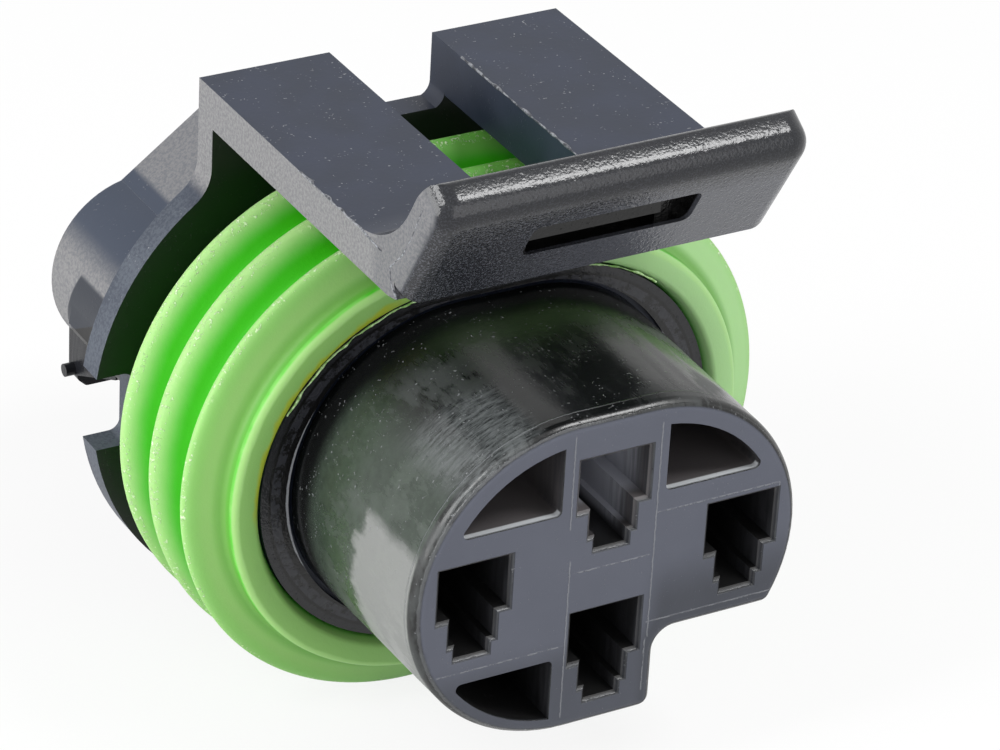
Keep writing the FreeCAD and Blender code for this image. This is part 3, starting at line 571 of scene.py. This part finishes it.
def sealTree():
    tree, add = newTree("sealSweep", {"Section": "Geometry", "Flat": "Float", "Radius": "Float",
                                      "Around": "Int", "Finish": "Material"})
    given = add("NodeGroupInput").outputs
    ring = add("GeometryNodeCurvePrimitiveCircle", [("Resolution", given["Around"]),
                                                    ("Radius", given["Radius"])])
    at = add("GeometryNodeInputPosition").outputs[0]
    apart = add("ShaderNodeSeparateXYZ", [(0, at)]).outputs
    side = add("ShaderNodeMath", [(0, apart[0])], operation="SIGN").outputs[0]
    shift = add("ShaderNodeMath", [(0, side), (1, given["Flat"])], operation="MULTIPLY").outputs[0]
    move = add("ShaderNodeCombineXYZ", [(0, shift)]).outputs[0]
    path = add("GeometryNodeSetPosition", [(0, ring.outputs[0]), ("Offset", move)])
    line = add("GeometryNodeMeshToCurve", [(0, given["Section"])])
    sweep = add("GeometryNodeCurveToMesh", [(0, path.outputs[0]), (1, line.outputs[0])])
    real = add("GeometryNodeRealizeInstances", [(0, sweep.outputs[0])])
    coat = add("GeometryNodeSetMaterial", [(0, real.outputs[0]), ("Material", given["Finish"])])
    add("NodeGroupOutput", [(0, coat.outputs[0])])
    return tree


def makeSeal():
    mesh = bpy.data.meshes.new("sealSection")
    points = [((r - seal["bore"]) * mm, y * mm, 0) for r, y in sealSection()]
    mesh.from_pydata(points, [(k, (k + 1) % len(points)) for k in range(len(points))], [])
    piece = bpy.data.objects.new("sealSleeve", mesh)
    bpy.context.scene.collection.objects.link(piece)
    grow(piece, sealTree(), {"Flat": seal["flat"] * mm, "Radius": seal["bore"] * mm,
                             "Around": seal["around"], "Finish": finishes["silicone"]})
    mesh = piece.data
    mesh.transform(Matrix.Rotation(math.pi / 2, 4, "X"))
    tidyNormals(mesh)
    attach(piece, "root")
    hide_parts("interface_seal")
    print("seal swept", len(mesh.polygons), "faces")


makeSeal()

# moulding flash: thin ragged beads along parting lines, by geometry nodes
flash = {"step": 0.22, "sides": 6, "swing": 1.1, "noise": 1100.0, "boreRadius": 11.62, "boreFront": 13.78,
         "boreEvery": 4}
# the film round the seal's bore: side of the oval, from and to, in degrees
boreArcs = ((1, 52, 91), (-1, 90, 151))


def boreFilm():
    points = []
    for side, start, end in boreArcs:
        for angle in range(start, end, flash["boreEvery"]):
            turn = math.radians(angle)
            points.append((side * sealFlat + flash["boreRadius"] * math.cos(turn), flash["boreFront"],
                           flash["boreRadius"] * math.sin(turn)))
    return points


# thickness, how ragged, finish and points of each line, in mm
flashLines = {
    "flashBarTop": (0.075, 0.07, "flash", [(-11.1, 2.4, 24.95), (-10.3, 2.2, 25.4), (-6, 2.15, 25.42),
                                           (0, 2.15, 25.4), (6, 2.15, 25.42), (10.3, 2.2, 25.4),
                                           (11.1, 2.4, 24.95)]),
    "flashLegInner": (0.085, 0.1, "flash", [(3.42, 25.5, 19.76), (3.42, 16, 19.76), (3.42, 8.8, 19.76)]),
    "flashLegOuter": (0.08, 0.12, "flash", [(-11.8, 16.5, 19.79), (-11.8, 12.5, 19.79), (-11.8, 9.0, 19.79),
                                            (-11.8, 6.6, 19.6)]),
    "flashBarEnd": (0.07, 0.12, "flash", [(-11.77, 2.4, 24.1), (-11.77, 3.47, 21.9), (-11.77, 4.35, 20.4),
                                          (-11.77, 5.6, 19.1), (-11.77, 5.4, 18.1), (-11.77, 4.9, 17.5)]),
    "flashBore": (0.08, 0.16, "film", boreFilm())}


def flashTree():
    tree, add = newTree("raggedBead", {"Line": "Geometry", "Thick": "Float", "Ragged": "Float",
                                       "Step": "Float", "Sides": "Int", "Seed": "Float",
                                       "Finish": "Material"})
    given = add("NodeGroupInput").outputs
    line = add("GeometryNodeMeshToCurve", [(0, given["Line"])])
    even = add("GeometryNodeResampleCurve", [(0, line.outputs[0]), ("Length", given["Step"])], mode="LENGTH")
    shake = add("ShaderNodeTexNoise", [("W", given["Seed"]), ("Scale", flash["noise"]), ("Detail", 2.0)],
                noise_dimensions="4D")
    centred = add("ShaderNodeVectorMath", [(0, shake.outputs["Color"]), (1, (0.5, 0.5, 0.5))],
                  operation="SUBTRACT")
    move = add("ShaderNodeVectorMath", [(0, centred.outputs[0]), ("Scale", given["Ragged"])],
               operation="SCALE")
    rough = add("GeometryNodeSetPosition", [(0, even.outputs[0]), ("Offset", move.outputs[0])])
    swell = add("ShaderNodeMapRange", [("Value", shake.outputs[0]), ("From Min", 0.38), ("From Max", 0.62),
                                       ("To Min", 0.3), ("To Max", 1.3)])
    ring = add("GeometryNodeCurvePrimitiveCircle", [("Resolution", given["Sides"]),
                                                    ("Radius", given["Thick"])])
    bead = add("GeometryNodeCurveToMesh", [(0, rough.outputs[0]), (1, ring.outputs[0]),
                                           ("Scale", swell.outputs[0]), ("Fill Caps", True)])
    real = add("GeometryNodeRealizeInstances", [(0, bead.outputs[0])])
    coat = add("GeometryNodeSetMaterial", [(0, real.outputs[0]), ("Material", given["Finish"])])
    add("NodeGroupOutput", [(0, coat.outputs[0])])
    return tree


def makeFlash():
    tree = flashTree()
    for seed, (name, (thick, ragged, finish, points)) in enumerate(flashLines.items()):
        mesh = bpy.data.meshes.new(name)
        mesh.from_pydata([tuple(v * mm for v in point) for point in points],
                         [(k, k + 1) for k in range(len(points) - 1)], [])
        piece = bpy.data.objects.new(name, mesh)
        bpy.context.scene.collection.objects.link(piece)
        grow(piece, tree, {"Thick": thick * mm, "Ragged": ragged * mm * 2, "Step": flash["step"] * mm,
                           "Sides": flash["sides"], "Seed": seed * flash["swing"],
                           "Finish": finishes[finish]})
        tidyNormals(piece.data)
        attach(piece, "root")
        "seal_rubber" if finish == "film" else "housing_plastic"
    print("flash lines", len(flashLines))


makeFlash()

# camera, floor, lamps and world; the camera stands back from the origin in mm
view = {"turn": -30.771, "rise": 29.759, "roll": 3.371, "away": 266.958, "right": -6.129, "up": 10.920,
        "lens": 171.5}


def placeCamera():
    turn, rise, roll = (math.radians(view[key]) for key in ("turn", "rise", "roll"))
    back = Vector((math.sin(turn) * math.cos(rise), -math.cos(turn) * math.cos(rise), math.sin(rise)))
    level = Vector((math.cos(turn), math.sin(turn), 0))
    plumb = back.cross(level)
    across = level * math.cos(roll) + plumb * math.sin(roll)
    upward = plumb * math.cos(roll) - level * math.sin(roll)
    spot = (back * view["away"] + across * view["right"] + upward * view["up"]) * mm
    camera = bpy.data.objects.new("camera", bpy.data.cameras.new("camera"))
    camera.data.lens, camera.data.sensor_width = view["lens"], 36
    camera.data.clip_start, camera.data.clip_end = 0.01, 10
    camera.matrix_world = Matrix.Translation(spot) @ Matrix((across, upward, back)).transposed().to_4x4()
    bpy.context.scene.collection.objects.link(camera)
    bpy.context.scene.camera = camera


lamps = {"key": {"at": (-300, 40, 90), "size": (220, 220), "level": 1.0},
         "front": {"at": (40, -320, 120), "size": (320, 320), "level": 0.35},
         "top": {"at": (125, -84, 268), "size": (112, 90), "level": 0.52},
         "topLeft": {"at": (-215, -13, 245), "size": (90, 90), "level": 0.25}}


def placeLamps():
    for name, lamp in lamps.items():
        light = bpy.data.lights.new(name, "AREA")
        light.shape, (light.size, light.size_y) = "RECTANGLE", (side * mm for side in lamp["size"])
        piece = bpy.data.objects.new(name, light)
        piece.location = Vector(lamp["at"]) * mm
        aim = Vector((0, 15, 0)) * mm - piece.location
        light.energy = lamp["level"] * math.pi ** 2 * aim.length ** 2
        piece.rotation_euler = Vector((0, 0, -1)).rotation_difference(aim).to_euler()
        bpy.context.scene.collection.objects.link(piece)


def seenRays(f):                        # 1 for rays that look straight or by reflection at the backdrop
    rays = f.node("ShaderNodeLightPath").socket.node.outputs
    seen = Wire(f, rays["Is Camera Ray"])
    for kind in ("Is Glossy Ray", "Is Transmission Ray"):
        seen = seen.do("MAXIMUM", Wire(f, rays[kind]))
    return seen


white = (1, 1, 1, 1)
studio = {"fill": 0.35, "floorHalf": 0.6, "floorGap": 0.03, "paper": (0.9, 0.9, 0.9, 1), "paperGlow": 0.85}


def makeWorld():
    world = bpy.context.scene.world = bpy.data.worlds.new("studio")
    f = Finish("studio", world)
    fill = f.node("ShaderNodeBackground", None, {"Color": white, "Strength": studio["fill"]})
    backdrop = f.node("ShaderNodeBackground", None, {"Color": white, "Strength": 1.0})
    mix = f.node("ShaderNodeMixShader", None, {0: seenRays(f), 1: fill, 2: backdrop})
    f.node("ShaderNodeOutputWorld", None, {"Surface": mix})


def makeFloor():
    half, level = studio["floorHalf"], cadBox[0][2] - studio["floorGap"] * mm
    mesh = bpy.data.meshes.new("floor")
    mesh.from_pydata([(-half, -half, level), (half, -half, level), (half, half, level), (-half, half, level)],
                     [], [(0, 1, 2, 3)])
    floor = bpy.data.objects.new("floor", mesh)
    f = Finish("floorPaper")
    paper = f.node("ShaderNodeBsdfDiffuse", None, {"Color": studio["paper"]})
    glow = f.node("ShaderNodeEmission", None, {"Color": white, "Strength": 1.0})
    mix = f.node("ShaderNodeMixShader", None, {0: seenRays(f) * studio["paperGlow"], 1: paper, 2: glow})
    f.node("ShaderNodeOutputMaterial", None, {"Surface": mix})
    mesh.materials.append(f.material)
    bpy.context.scene.collection.objects.link(floor)


placeCamera()
placeLamps()
makeWorld()
makeFloor()
print("camera, lamps, world and floor placed")
bpy.context.scene.view_settings.view_transform = "Standard"
